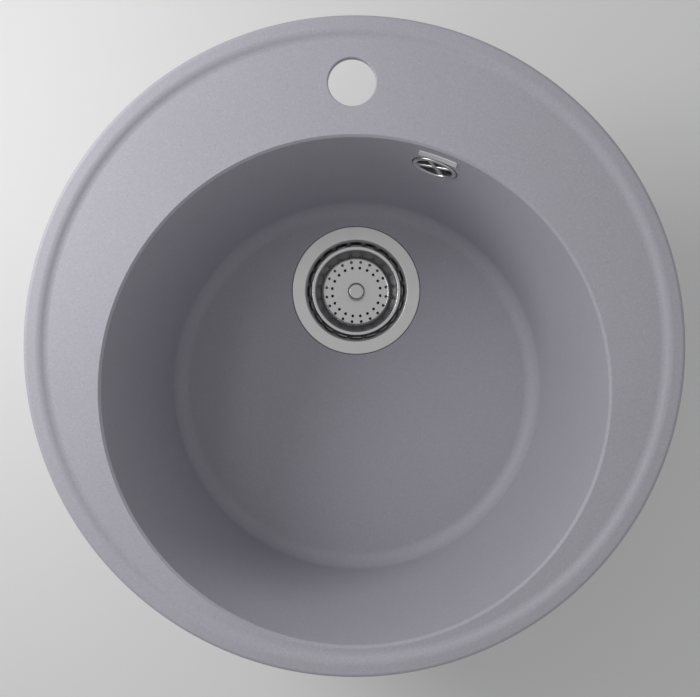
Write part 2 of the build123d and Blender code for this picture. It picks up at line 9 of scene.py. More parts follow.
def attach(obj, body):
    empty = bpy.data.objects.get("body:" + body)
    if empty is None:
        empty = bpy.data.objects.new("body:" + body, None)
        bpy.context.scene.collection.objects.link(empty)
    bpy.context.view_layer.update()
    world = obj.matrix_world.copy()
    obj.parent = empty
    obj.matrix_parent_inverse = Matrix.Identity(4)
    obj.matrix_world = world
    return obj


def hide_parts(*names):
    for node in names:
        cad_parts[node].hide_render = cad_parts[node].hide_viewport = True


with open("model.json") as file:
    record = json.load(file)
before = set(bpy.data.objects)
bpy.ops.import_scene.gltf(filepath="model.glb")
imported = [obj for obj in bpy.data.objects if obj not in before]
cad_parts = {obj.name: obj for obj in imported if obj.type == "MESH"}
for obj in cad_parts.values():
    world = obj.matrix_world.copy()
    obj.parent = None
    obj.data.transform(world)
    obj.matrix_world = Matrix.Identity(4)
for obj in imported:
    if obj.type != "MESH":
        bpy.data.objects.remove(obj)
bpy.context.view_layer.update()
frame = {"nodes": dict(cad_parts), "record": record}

scene = bpy.context.scene
mm = 0.001
weld = 1e-6  # points nearer than this are one point
print("frame loaded,", len(frame["nodes"]), "nodes")


# modelling helpers, outlines are in millimetres

def at(x, y, z=0):
    return Matrix.Translation((x * mm, y * mm, z * mm))


def turnBy(degrees):
    return Matrix.Rotation(math.radians(degrees), 4, "Z")


def moved(bm, matrix):
    bmesh.ops.transform(bm, matrix=matrix, verts=bm.verts[:])
    return bm


def mergeDoubles(bm, near=weld):
    bmesh.ops.remove_doubles(bm, verts=bm.verts[:], dist=near)


def facesOut(bm):
    bmesh.ops.recalc_face_normals(bm, faces=bm.faces[:])


def bevelled(bm, geom, offset, segments, affect="EDGES"):
    bmesh.ops.bevel(bm, geom=geom, offset=offset, offset_type="OFFSET", affect=affect,
                    segments=segments, profile=0.5, material=-1)


def roundOff(bm, vert, radius, degreesPerStep=9):
    toA, toB = [edge.other_vert(vert).co - vert.co for edge in vert.link_edges]
    inside = toA.angle(toB)
    steps = max(2, round((180 - math.degrees(inside)) / degreesPerStep))
    bevelled(bm, [vert], radius / math.tan(inside / 2), steps, "VERTICES")


def chain(bm, points):  # points of (radius, height) joined by edges
    verts = [bm.verts.new((r * mm, 0, z * mm)) for r, z, *_ in points]
    for a, b in zip(verts, verts[1:]):
        bm.edges.new((a, b))
    return verts


def turned(corners, steps, closed=True, backRows=0):  # corners of (radius, height, round), spun
    bm = bmesh.new()
    verts = chain(bm, corners)
    if closed and verts[0].co.x + verts[-1].co.x > 0:  # no edge along the axis itself
        bm.edges.new((verts[-1], verts[0]))
    for vert, corner in zip(verts, corners):
        if len(corner) > 2:
            roundOff(bm, vert, corner[2] * mm)
    if backRows:  # rows along the last edge, for a piece that is bent afterwards
        back = [edge for edge in verts[0].link_edges if edge.other_vert(verts[0]) == verts[-1]]
        bmesh.ops.subdivide_edges(bm, edges=back, cuts=backRows)
    bmesh.ops.spin(bm, geom=bm.verts[:] + bm.edges[:], cent=(0, 0, 0), axis=(0, 0, 1),
                   dvec=(0, 0, 0), angle=2 * math.pi, steps=steps, use_merge=True)
    mergeDoubles(bm)
    facesOut(bm)
    return bm


def drum(radius, low, high, steps):  # closed upright cylinder
    bm = bmesh.new()
    bmesh.ops.create_cone(bm, cap_ends=True, segments=steps, radius1=radius * mm,
                          radius2=radius * mm, depth=(high - low) * mm,
                          matrix=at(0, 0, (high + low) / 2))
    return bm


def block(length, width, height, corner=0, edge=0):  # box, upright corners and edges rounded
    bm = bmesh.new()
    bmesh.ops.create_cube(bm, size=mm, matrix=Matrix.Diagonal((length, width, height, 1)))
    if corner:
        upright = [e for e in bm.edges if abs(e.verts[0].co.z - e.verts[1].co.z) > weld]
        bevelled(bm, upright, corner * mm, segments=6)
    if edge:
        bevelled(bm, bm.edges[:], edge * mm, segments=3)
    return bm


def together(parts):  # several shapes in one
    whole = bmesh.new()
    for part in parts:
        mesh = bpy.data.meshes.new("part")
        part.to_mesh(mesh)
        part.free()
        whole.from_mesh(mesh)
        bpy.data.meshes.remove(mesh)
    return whole


def ringOf(count, part, start=0.0):  # copies about the upright axis
    return together([moved(part.copy(), turnBy(start + 360 / count * i)) for i in range(count)])


def cutLevel(bm, height, side):  # clears what is above the height, or below it for side -1
    return bmesh.ops.bisect_plane(bm, geom=bm.verts[:] + bm.edges[:] + bm.faces[:],
                                  plane_co=(0, 0, height * mm), plane_no=(0, 0, side),
                                  clear_outer=True)


def threaded(minor, major, pitch, low, high, steps):  # closed rod with a helical thread
    bm = bmesh.new()
    tooth = [(minor, 0), (major, 0.36), (major, 0.5), (minor, 0.86), (minor, 1)]
    chain(bm, [(r, share * pitch) for r, share in tooth])
    turns = math.ceil((high - low) / pitch) + 2
    bmesh.ops.spin(bm, geom=bm.verts[:] + bm.edges[:], cent=(0, 0, 0), axis=(0, 0, 1),
                   dvec=(0, 0, pitch * mm / steps), angle=2 * math.pi * turns,
                   steps=steps * turns)
    mergeDoubles(bm)
    moved(bm, at(0, 0, low - pitch))
    cutLevel(bm, low, -1)
    cutLevel(bm, high, 1)
    mergeDoubles(bm)
    bmesh.ops.holes_fill(bm, edges=[e for e in bm.edges if e.is_boundary], sides=0)
    facesOut(bm)
    return bm


def inScene(name, data):
    thing = bpy.data.objects.new(name, data)
    scene.collection.objects.link(thing)
    return thing


def solid(name, bm):
    mesh = bpy.data.meshes.new(name)
    bm.to_mesh(mesh)
    bm.free()
    return inScene(name, mesh)


def shapeOf(piece):  # takes the piece out of the scene again
    bm = bmesh.new()
    bm.from_mesh(piece.data)
    bpy.data.objects.remove(piece)
    return bm


def settle(piece):  # what the modifiers make becomes the piece's own mesh
    graph = bpy.context.evaluated_depsgraph_get()
    made = bpy.data.meshes.new_from_object(piece.evaluated_get(graph))
    piece.modifiers.clear()
    old = piece.data
    piece.data = made
    bpy.data.meshes.remove(old)
    made.name = piece.name


def sliverFree(piece, hair=0.003):  # closes the hairlines that a cut leaves
    bm = bmesh.new()
    bm.from_mesh(piece.data)
    mergeDoubles(bm, hair * mm)
    bmesh.ops.dissolve_degenerate(bm, edges=bm.edges[:], dist=hair * mm)
    bmesh.ops.triangulate(bm, faces=[f for f in bm.faces if len(f.verts) > 4])
    bmesh.ops.dissolve_degenerate(bm, edges=bm.edges[:], dist=hair * mm)
    facesOut(bm)
    bm.to_mesh(piece.data)
    bm.free()


def carve(piece, bm, how="DIFFERENCE"):
    tool = solid("tool", bm)
    step = piece.modifiers.new("carve", "BOOLEAN")
    step.operation = how
    step.solver = "EXACT"
    step.object = tool
    settle(piece)
    bpy.data.objects.remove(tool)
    sliverFree(piece)


def thicken(piece, sheet):  # the sheet goes down from the side that faces up
    wall = piece.modifiers.new("sheet", "SOLIDIFY")
    wall.thickness = sheet * mm
    wall.offset = -1
    wall.use_even_offset = True
    settle(piece)


def faceUp(bm):  # an open pressed sheet has its flange facing up
    highest = max(bm.faces, key=lambda f: f.calc_center_median().z)
    if highest.normal.z < 0:
        bmesh.ops.reverse_faces(bm, faces=bm.faces[:])
    return bm


def present(piece, finish, body, slot, *nodes, sharp=32):  # edges past sharp degrees stay crisp
    mesh = piece.data
    mesh.materials.clear()
    mesh.materials.append(finish)
    mesh.polygons.foreach_set("material_index", [0] * len(mesh.polygons))
    mesh.shade_smooth()
    mesh.set_sharp_from_angle(angle=math.radians(sharp))
    shading = piece.modifiers.new("evenShading", "WEIGHTED_NORMAL")
    shading.keep_sharp = True
    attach(piece, body)
    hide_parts(*nodes)
    print(piece.name, "made,", len(mesh.polygons), "faces")


# finishes, all on object coordinates, scales are per metre, heights in metres

def wire(tree, node, inputs):  # sockets are linked, plain values are set
    for key, value in inputs.items():
        if isinstance(value, bpy.types.NodeSocket):
            tree.links.new(value, node.inputs[key])
        else:
            node.inputs[key].default_value = value


def added(tree, kind, inputs, **settings):
    node = tree.nodes.new(kind)
    for name, value in settings.items():
        setattr(node, name, value)
    wire(tree, node, inputs)
    return node


def newFinish(name, metallic=0.0):
    finish = bpy.data.materials.new(name)
    finish.use_nodes = True
    tree = finish.node_tree
    shader = tree.nodes["Principled BSDF"]
    shader.inputs["Metallic"].default_value = metallic
    return finish, tree, shader


def objectPlace(tree, centre=(0, 0, 0), stretch=(1, 1, 1)):
    coords = tree.nodes.new("ShaderNodeTexCoord")
    inputs = {"Vector": coords.outputs["Object"], "Location": centre, "Scale": stretch}
    place = added(tree, "ShaderNodeMapping", inputs, vector_type="TEXTURE")
    return place.outputs["Vector"]


def noise(tree, vector, scale, detail=2.0, roughness=0.5):
    inputs = {"Vector": vector, "Scale": scale, "Detail": detail, "Roughness": roughness}
    return added(tree, "ShaderNodeTexNoise", inputs).outputs["Fac"]


def cells(tree, vector, scale):  # one random value for each grain
    texture = added(tree, "ShaderNodeTexVoronoi", {"Vector": vector, "Scale": scale})
    split = added(tree, "ShaderNodeSeparateColor", {"Color": texture.outputs["Color"]})
    return split.outputs["Red"]


def tinted(colour, by):
    return tuple(min(1.0, c * by) for c in colour)


def shades(tree, value, colour, tones):  # tones of (position, share of the colour)
    ramp = added(tree, "ShaderNodeValToRGB", {"Fac": value})
    elements = ramp.color_ramp.elements
    while len(elements) < len(tones):
        elements.new(0.5)
    for element, (position, share) in zip(elements, tones):
        element.position = position
        element.color = (*tinted(colour, share), 1)
    return ramp.outputs["Color"]


def spread(tree, value, low, high):  # from nought and one to low and high
    inputs = {"Value": value, "To Min": low, "To Max": high}
    return added(tree, "ShaderNodeMapRange", inputs).outputs["Result"]


def limited(tree, value, low, high):  # nought at low, one at high, level beyond them
    inputs = {"Value": value, "From Min": low, "From Max": high}
    return added(tree, "ShaderNodeMapRange", inputs).outputs["Result"]


def worked(tree, operation, a, b):
    return added(tree, "ShaderNodeMath", {0: a, 1: b}, operation=operation).outputs["Value"]


def blended(tree, kind, share, a, b):  # 6, 7 and 2 are the mix node's colour sockets
    inputs = {"Factor": share, 6: a, 7: b}
    return added(tree, "ShaderNodeMix", inputs, data_type="RGBA", blend_type=kind).outputs[2]


def relief(tree, value, height, strength):
    inputs = {"Height": value, "Distance": height, "Strength": strength}
    return added(tree, "ShaderNodeBump", inputs).outputs["Normal"]


def radiusOf(tree, spot):  # distance from the finish's own upright axis
    flat = added(tree, "ShaderNodeVectorMath", {0: spot, 1: (1, 1, 0)}, operation="MULTIPLY")
    reach = added(tree, "ShaderNodeVectorMath", {0: flat.outputs["Vector"]}, operation="LENGTH")
    return reach.outputs["Value"]


quartzLook = {
    "colour": (0.41, 0.402, 0.452), "grain": 1500, "cloud": 9, "fineShare": 0.7,
    "grainTones": ((0.0, 0.88), (0.12, 0.97), (0.55, 1.0), (0.9, 1.02), (1.0, 1.14)),
    "cloudTones": ((0.3, 0.96), (0.7, 1.0)), "rough": (0.46, 0.62), "specular": 0.4,
    "height": 0.00006, "strength": 0.5,
}


def quartzFinish(look):
    finish, tree, shader = newFinish("quartzComposite")
    spot = objectPlace(tree)
    grain = cells(tree, spot, look["grain"])
    grains = shades(tree, grain, look["colour"], look["grainTones"])
    drift = noise(tree, spot, look["cloud"], detail=3)
    cloud = shades(tree, drift, (1, 1, 1), look["cloudTones"])
    fine = noise(tree, spot, look["grain"] * look["fineShare"], detail=3, roughness=0.6)
    wire(tree, shader, {
        "Base Color": blended(tree, "MULTIPLY", 1.0, grains, cloud),
        "Roughness": spread(tree, fine, *look["rough"]),
        "Specular IOR Level": look["specular"],
        "Normal": relief(tree, fine, look["height"], look["strength"]),
    })
    return finish


def drawnWall(tree, spot, look):  # one on the inner side of a pressed wall, nought elsewhere
    (lowRadius, low), (highRadius, high) = look["drawn"]
    sheet, fade = look["sheet"], look["fade"]
    height = added(tree, "ShaderNodeSeparateXYZ", {"Vector": spot}).outputs["Z"]
    flare = (highRadius - lowRadius) / (high - low)
    rise = worked(tree, "MULTIPLY", height, flare)
    reach = worked(tree, "SUBTRACT", radiusOf(tree, spot), rise)
    middle = lowRadius - low * flare + sheet / 2
    inner = limited(tree, reach, middle + sheet / 4, middle - sheet / 4)
    above = limited(tree, height, low, low + fade)
    below = limited(tree, height, high, high - fade)
    return worked(tree, "MULTIPLY", inner, worked(tree, "MULTIPLY", above, below))


metalLook = {"metallic": 1.0, "centre": (0, 0, 0), "stretch": (1, 1, 1), "dull": 0.95,
             "height": 0.00001, "strength": 0.15}


def metalTone(tree, spot, look, blotch, marks):
    def tone(share):
        colour = tinted(look["colour"], share)
        return shades(tree, blotch, colour, ((0.27, look["dull"]), (0.73, 1.0)))

    colour, rough = tone(1.0), spread(tree, marks, *look["rough"])
    if "drawn" in look:  # a drawn wall has a roughness of its own, and its darker colour there is painted shade
        band = drawnWall(tree, spot, look)
        # painted shade: on the drawn wall the colour is mixed towards a darker share of itself
        colour = blended(tree, "MIX", band, colour, tone(look["drawnShare"]))
        rough = blended(tree, "MIX", band, rough, spread(tree, marks, *look["drawnRough"]))
    bumps = relief(tree, marks, look["height"], look["strength"])
    return {"Base Color": colour, "Roughness": rough, "Normal": bumps}


def metalFinish(name, **changes):  # rolled, pressed or polished metal
    look = {**metalLook, **changes}
    finish, tree, shader = newFinish(name, look["metallic"])
    spot = objectPlace(tree, look["centre"], look["stretch"])
    fine = noise(tree, spot, look["scale"], detail=4, roughness=0.6)
    wire(tree, shader, metalTone(tree, spot, look, fine, fine))
    return finish


def turnedFinish(name, **changes):  # concentric tool marks about the waste's axis
    look = {**metalLook, **changes}
    finish, tree, shader = newFinish(name, look["metallic"])
    spot = objectPlace(tree, look["centre"])
    inputs = {"W": radiusOf(tree, spot), "Scale": look["rings"], "Detail": 3}
    rings = added(tree, "ShaderNodeTexNoise", inputs, noise_dimensions="1D").outputs["Fac"]
    smudge = noise(tree, spot, look["scale"], detail=3)
    wire(tree, shader, metalTone(tree, spot, look, smudge, rings))
    return finish


mouldedLook = {"flow": 40, "specular": 0.45, "height": 0.00005, "strength": 0.3,
               "flowTones": ((0.3, 0.93), (0.7, 1.0))}


def mouldedFinish(name, **changes):  # plastic or rubber out of a mould
    look = {**mouldedLook, **changes}
    finish, tree, shader = newFinish(name)
    spot = objectPlace(tree)
    flow = noise(tree, spot, look["flow"])
    texture = noise(tree, spot, look["scale"], detail=3, roughness=0.6)
    wire(tree, shader, {
        "Base Color": shades(tree, flow, look["colour"], look["flowTones"]),
        "Roughness": spread(tree, texture, *look["rough"]),
        "Specular IOR Level": look["specular"],
        "Normal": relief(tree, texture, look["height"], look["strength"]),
    })
    return finish


wasteAt = (0.0, 51.97)
wasteAxis = (wasteAt[0] * mm, wasteAt[1] * mm, 0)
quartz = quartzFinish(quartzLook)
satinSteel = turnedFinish(
    "satinSteel", colour=(0.8, 0.8, 0.8), centre=wasteAxis, rings=2600, scale=60,
    rough=(0.28, 0.4), strength=0.12, drawn=((0.038, -0.215), (0.0451, -0.182)),
    sheet=0.001, fade=0.0009, drawnShare=1.0, drawnRough=(0.7, 0.8))
# the basket's drawn wall is painted darker, to 0.24 of its colour, as painted shade
pressedSteel = metalFinish(
    "pressedSteel", colour=(0.8, 0.8, 0.8), centre=wasteAxis, scale=900, rough=(0.16, 0.28),
    height=0.00002, strength=0.12, drawn=((0.0308, -0.206), (0.0365, -0.186)),
    sheet=0.0008, fade=0.0022, drawnShare=0.24, drawnRough=(0.3, 0.4))
knobSteel = turnedFinish(
    "knobSteel", colour=(0.76, 0.76, 0.76), centre=wasteAxis, rings=4000, scale=90,
    rough=(0.15, 0.24), strength=0.1)
chrome = metalFinish(
    "polishedChrome", colour=(0.74, 0.745, 0.75), scale=120, rough=(0.24, 0.34), dull=0.97,
    strength=0.05)
plateMetal = metalFinish(
    "plateMetal", colour=(0.9, 0.9, 0.91), scale=700, rough=(0.3, 0.42), stretch=(6, 6, 1),
    strength=0.12, metallic=0.15)
zinc = metalFinish(
    "zincPlate", colour=(0.58, 0.6, 0.63), scale=260, rough=(0.3, 0.48), dull=0.82,
    height=0.00003, strength=0.25)
brass = metalFinish(
    "turnedBrass", colour=(0.72, 0.5, 0.2), scale=500, rough=(0.22, 0.36), dull=0.85,
    stretch=(4, 4, 0.5))
bodyPlastic = mouldedFinish(
    "bodyPlastic", colour=(0.76, 0.76, 0.74), scale=1800, rough=(0.4, 0.55))
pipePlastic = mouldedFinish(
    "pipePlastic", colour=(0.66, 0.66, 0.65), scale=1400, rough=(0.34, 0.48))
nutPlastic = mouldedFinish(
    "nutPlastic", colour=(0.16, 0.165, 0.175), scale=1600, rough=(0.4, 0.55))
stemPlastic = mouldedFinish(
    "stemPlastic", colour=(0.045, 0.045, 0.048), scale=1600, rough=(0.35, 0.5))
rubber = mouldedFinish(
    "sealRubber", colour=(0.028, 0.028, 0.03), scale=900, rough=(0.6, 0.78), specular=0.3,
    height=0.00008, strength=0.4)

slotFinishes = {
    "quartz_composite": quartz, "stainless": satinSteel, "chrome": chrome,
    "plate_metal": plateMetal, "moulded_plastic": bodyPlastic, "nut_plastic": nutPlastic,
    "pipe_plastic": pipePlastic, "stem_plastic": stemPlastic, "rubber": rubber, "brass": brass,
    "zinc_steel": zinc,
}
slotOfNode = {row["node"]: row["material_slot"] for row in frame["record"]["subparts"]}
for node, piece in frame["nodes"].items():  # the solids that stay show the finish of their slot
    piece.data.materials.clear()
    piece.data.materials.append(slotFinishes[slotOfNode[node]])
print("finishes made,", len(slotFinishes))


# the casting: rim and deck about the rim's centre, bowl about its own axis

sink = {
    "rim": 239.92, "rimTop": 8.0, "rimRound": 3.0, "band": 10.8, "slope": 4.8, "blend": 8.0,
    "deckTop": 5.0, "deckLow": -5.0, "step": 227.733, "stepInset": 0.02, "seatRound": 0.8,
    "bowlAt": (0.0, -32.65), "mouth": 185.006, "draft": 7.46, "wall": 9.0, "underBlend": 4.0,
    "lip": (1.6, 2.0), "lipRound": 0.5, "lipBlend": 1.0, "steps": 360,
    "floorTop": -182.0, "floorLow": -192.0, "floorRound": 14.0,
    "tapAt": (0.0, 192.006), "tapHole": 17.5, "tapRound": 1.0, "tapRecess": 28.0,
    "tapWeb": 6.0, "tapSteps": 128,
    "wasteHole": 46.6, "flangeRecess": 57.3, "recessDrop": 2.0, "recessRound": 0.35,
    "wasteSteps": 192, "clipCircle": 214.033,
    "clipTurns": {"back_right": 42, "side_right": 95, "side_left": -95, "back_left": -42},
    "boss": (7.5, 8.5, 10.0), "bossSteps": 48,
    "insertHole": 4.55, "insertDepth": 14.0, "insertSteps": 36,
    "overrun": 9.0, "underrun": 3.0, "trimRun": 5.0,  # how far cutters go past a face
}
overflow = {
    "height": -35.0, "turn": 20.2, "spotFace": 0.9, "recess": 18.3, "hole": 15.6,
    "pad": 22.0, "padFace": 9.7, "steps": 96,
}
draft = math.radians(sink["draft"])
slant = math.tan(draft)


def wallRadius(height):
    return sink["mouth"] - (sink["deckTop"] - height) * slant


aside = math.radians(overflow["turn"])
outward = Vector((math.sin(aside), math.cos(aside), 0))
inward = -outward * math.cos(draft) + Vector((0, 0, math.sin(draft)))
alongWall = Vector((outward.y, -outward.x, 0))
wallPoint = Vector((*sink["bowlAt"], overflow["height"]))
wallPoint += outward * wallRadius(overflow["height"])
overflowSeat = Matrix((alongWall, inward.cross(alongWall), inward)).transposed().to_4x4()
overflowSeat.translation = (wallPoint - inward * overflow["spotFace"]) * mm  # +Z points inwards


def atClip(place):  # the screw is upright there and +X points outwards
    return turnBy(90 - sink["clipTurns"][place]) @ at(sink["clipCircle"], 0)


def atClips(part):
    return [moved(part.copy(), atClip(place)) for place in sink["clipTurns"]]


def bowlShell():  # outside of the bowl, within the step that drops into the worktop
    s = sink
    wallRun = s["wall"] / math.cos(draft)
    outerTop = wallRadius(s["deckLow"]) + wallRun
    flare = outerTop + 2 * s["underBlend"]
    shell = solid("shell", moved(turned([
        (0, s["floorLow"]),
        (wallRadius(s["floorLow"]) + wallRun, s["floorLow"], s["floorRound"] + s["wall"]),
        (outerTop, s["deckLow"], s["underBlend"]), (flare, s["deckLow"]), (flare, 0), (0, 0),
    ], s["steps"]), at(*s["bowlAt"])))
    within = s["step"] - s["stepInset"]  # the two walls must not coincide
    carve(shell, drum(within, s["floorLow"] - s["trimRun"], s["rimTop"], s["steps"]), "INTERSECT")
    return shapeOf(shell)


def bowlInside():
    s = sink
    lipWidth, lipDrop = s["lip"]
    lipFoot = s["deckTop"] - lipDrop
    lipEnd = s["mouth"] + lipWidth + s["lipRound"]
    high = s["rimTop"] + s["overrun"]
    inside = turned([
        (0, s["floorTop"]), (wallRadius(s["floorTop"]), s["floorTop"], s["floorRound"]),
        (wallRadius(lipFoot), lipFoot, s["lipBlend"]),
        (s["mouth"] + lipWidth, s["deckTop"], s["lipRound"]),
        (lipEnd, s["deckTop"]), (lipEnd, high), (0, high),
    ], s["steps"])
    return moved(inside, at(*s["bowlAt"]))


def steppedHole(low, lower, level, upper, top, edge, steps):  # radius changes at the level
    start, end, wide = low - sink["underrun"], top + sink["overrun"], upper + edge
    return turned([
        (0, start), (lower, start), (lower, level), (upper, level), (upper, top, edge),
        (wide, top), (wide, end), (0, end),
    ], steps)


def castingHoles():  # tap, waste, overflow and the four inserts
    s, o = sink, overflow
    tap = steppedHole(s["deckLow"], s["tapRecess"], s["deckTop"] - s["tapWeb"], s["tapHole"],
                      s["deckTop"], s["tapRound"], s["tapSteps"])
    waste = steppedHole(s["floorLow"], s["wasteHole"], s["floorTop"] - s["recessDrop"],
                        s["flangeRecess"], s["floorTop"], s["recessRound"], s["wasteSteps"])
    behind = -o["padFace"] - s["overrun"]
    spout = turned([
        (0, behind), (o["hole"], behind), (o["hole"], 0), (o["recess"], 0),
        (o["recess"], s["overrun"]), (0, s["overrun"]),
    ], o["steps"])
    insertLow = s["deckLow"] - s["boss"][2]
    insert = drum(s["insertHole"], insertLow - s["underrun"], insertLow + s["insertDepth"],
                  s["insertSteps"])
    holes = [moved(tap, at(*s["tapAt"])), moved(waste, at(*wasteAt)), moved(spout, overflowSeat)]
    return together(holes + atClips(insert))


def makeCasting():
    s, o = sink, overflow
    slopeTop = s["rim"] - s["band"]
    casting = solid("sinkCasting", turned([
        (0, s["deckLow"]), (s["step"], s["deckLow"]), (s["step"], 0),
        (s["rim"], 0, s["seatRound"]), (s["rim"], s["rimTop"], s["rimRound"]),
        (slopeTop, s["rimTop"], s["blend"]),
        (slopeTop - s["slope"], s["deckTop"], s["blend"]), (0, s["deckTop"]),
    ], s["steps"]))
    carve(casting, bowlShell(), "UNION")
    low, foot, drop = s["boss"]
    boss = turned([
        (0, s["deckLow"] - drop), (low, s["deckLow"] - drop, s["seatRound"]),
        (foot, s["deckLow"]), (foot, 0), (0, 0),
    ], s["bossSteps"])
    pad = moved(drum(o["pad"], -o["padFace"], 0, o["steps"]), overflowSeat)
    carve(casting, together(atClips(boss) + [pad]), "UNION")
    carve(casting, bowlInside())
    carve(casting, castingHoles())
    present(casting, quartz, "sink", "quartz_composite", "sink_bowl", sharp=30)


makeCasting()


# the waste: pressed cup, strainer basket and knob, heights from the bowl's floor

cup = {
    "sheet": 1.0, "steps": 180,
    "profile": [(56.5, 0), (45.1, 0, 1.2), (38.0, -33.0, 3.0), (31.5, -38.0, 3.0), (6.4, -38.0)],
    "slots": 20, "slotSize": (10.2, 12.5), "slotTop": 6.0, "slotCorner": 2.4,
    "slotRing": 41.0, "slotReach": 16.0,
    "drains": 4, "drainRing": 17.0, "drainWidth": 11.0, "drainSweep": 40.0,
    "drainReach": (-42.0, -34.0), "drainSteps": 32,
}


def drainHole():  # three drums along an arc, wrapped in one skin
    c = cup
    peg = drum(c["drainWidth"] / 2, *c["drainReach"], c["drainSteps"])
    turns = [turnBy(share * c["drainSweep"]) for share in (-0.5, 0, 0.5)]
    drain = together([moved(peg.copy(), turn @ at(c["drainRing"], 0)) for turn in turns])
    skin = bmesh.ops.convex_hull(drain, input=drain.verts[:])
    inner = [g for g in skin["geom_interior"] if isinstance(g, bmesh.types.BMVert)]
    bmesh.ops.delete(drain, geom=inner, context="VERTS")
    kept = set(skin["geom"])
    bmesh.ops.delete(drain, geom=[f for f in drain.faces if f not in kept], context="FACES")
    return drain


def makeCup():
    c = cup
    piece = solid("wasteCup", faceUp(turned(c["profile"], c["steps"], closed=False)))
    thicken(piece, c["sheet"])
    width, height = c["slotSize"]
    slot = block(width, height, c["slotReach"], c["slotCorner"])
    middle = at(0, c["slotRing"], -c["slotTop"] - height / 2)
    slots = ringOf(c["slots"], moved(slot, middle @ Matrix.Rotation(math.pi / 2, 4, "X")))
    drains = ringOf(c["drains"], drainHole(), c["drainSweep"] / 2)
    carve(piece, together([slots, drains]))
    piece.data.transform(at(*wasteAt, sink["floorTop"]))
    present(piece, satinSteel, "sink", "stainless", "waste_cup")


basket = {
    "sheet": 0.8, "steps": 160,
    "profile": [(40.0, -6.0), (40.0, -4.0, 0.96), (36.5, -4.0, 1.6), (30.8, -24.0, 3.5),
                (2.6, -24.0)],
    "hole": 1.05, "holeRound": 0.5, "holes": 20, "drillReach": 2.4, "drillSteps": 24,
    "floorRings": (22.1, 27.4), "wallRows": (0.25, 0.55),  # radii, shares of the wall's height
}


def makeBasket():
    b = basket
    piece = solid("strainerBasket", faceUp(turned(b["profile"], b["steps"], closed=False)))
    thicken(piece, b["sheet"])
    (mouth, top, _), (foot, floor, _) = b["profile"][2:4]
    lean = math.atan2(mouth - foot, top - floor)
    reach, wide = b["drillReach"], b["hole"] + b["holeRound"]
    drill = turned([
        (0, -reach), (b["hole"], -reach), (b["hole"], 0, b["holeRound"]), (wide, 0),
        (wide, reach), (0, reach),
    ], b["drillSteps"])
    places = [at(0, ring, floor) for ring in b["floorRings"]]
    for share in b["wallRows"]:
        row = at(0, foot + share * (mouth - foot), floor + share * (top - floor))
        places.append(row @ Matrix.Rotation(math.pi / 2 - lean, 4, "X"))
    start = 180 / b["holes"]
    carve(piece, together([ringOf(b["holes"], moved(drill.copy(), p), start) for p in places]))
    piece.data.transform(at(*wasteAt, sink["floorTop"]))
    present(piece, pressedSteel, "basket", "stainless", "strainer_basket")


knob = {
    "profile": [(2.55, -24.0), (6.5, -24.0), (4.5, -21.0, 1.5), (4.5, -15.0, 1.5),
                (7.6, -12.0, 1.5), (7.6, -9.0, 2.3), (0, -9.0), (0, -13.0), (2.55, -13.0)],
    "steps": 72,
}


def makeKnob():
    shape = moved(turned(knob["profile"], knob["steps"]), at(*wasteAt, sink["floorTop"]))
    present(solid("basketKnob", shape), knobSteel, "basket", "stainless", "basket_knob")


makeCup()
makeBasket()
makeKnob()


# the overflow: rosette in the wall, ribbed pipe behind it

rosette = {
    "profile": [(14.0, -20.0), (15.2, -20.0), (15.2, 0), (17.5, 0), (17.5, 2.6, 1.1),
                (14.0, 2.6, 1.1)],
    "spoke": (29.2, 3.0, 4.0), "spokeLow": -2.5, "spokeTurn": 27.0, "spokeEdge": 0.7,
    "steps": 120,
}


def makeRosette():
    r = rosette
    piece = solid("overflowRosette", turned(r["profile"], r["steps"]))
    length, width, depth = r["spoke"]
    for quarter in (0, 90):
        bar = block(length, width, depth, edge=r["spokeEdge"])
        place = turnBy(r["spokeTurn"] + quarter) @ at(0, 0, r["spokeLow"] + depth / 2)
        carve(piece, moved(bar, place), "UNION")
    piece.data.transform(overflowSeat)
    present(piece, chrome, "sink", "chrome", "overflow_rosette")


pipe = {
    "start": (72.767, 165.126, -67.294), "corner": (66.677, 148.572, -202.0),
    "end": (33.206, 100.08, -219.569), "bend": 53.533, "lead": 5.0, "routeSteps": 48,
    "crest": 11.0, "valley": 9.5, "bore": 8.5, "cuff": 26.6, "pitch": 5.0, "flank": 0.75,
    "valleyWidth": 1.5, "ribGap": 0.02, "soften": 0.35, "steps": 56, "boreRows": 80,
}


def pipeRoute():  # two straight runs with a bend between them, and the length along it
    p = pipe
    start, corner, end = [Vector(p[key]) for key in ("start", "corner", "end")]
    down, on = (corner - start).normalized(), (end - corner).normalized()
    bendTurn = down.angle(on)
    run = p["bend"] * math.tan(bendTurn / 2)
    handle = 4 / 3 * math.tan(bendTurn / 4) * p["bend"]
    arcStart, arcEnd = corner - down * run, corner + on * run
    length = (arcStart - start).length + p["bend"] * bendTurn + (end - arcEnd).length

    line = bpy.data.curves.new("pipeRoute", "CURVE")
    line.dimensions = "3D"
    spline = line.splines.new("BEZIER")
    lead = p["lead"]
    stops = [(start, down * lead, down * lead), (arcStart, down * lead, down * handle),
             (arcEnd, on * handle, on * lead), (end, on * lead, on * lead)]
    spline.bezier_points.add(len(stops) - 1)
    spline.resolution_u = p["routeSteps"]
    for point, (place, before, after) in zip(spline.bezier_points, stops):
        point.handle_left_type = point.handle_right_type = "FREE"
        point.co = place * mm
        point.handle_left = (place - before) * mm
        point.handle_right = (place + after) * mm
    return inScene("pipeRoute", line), length


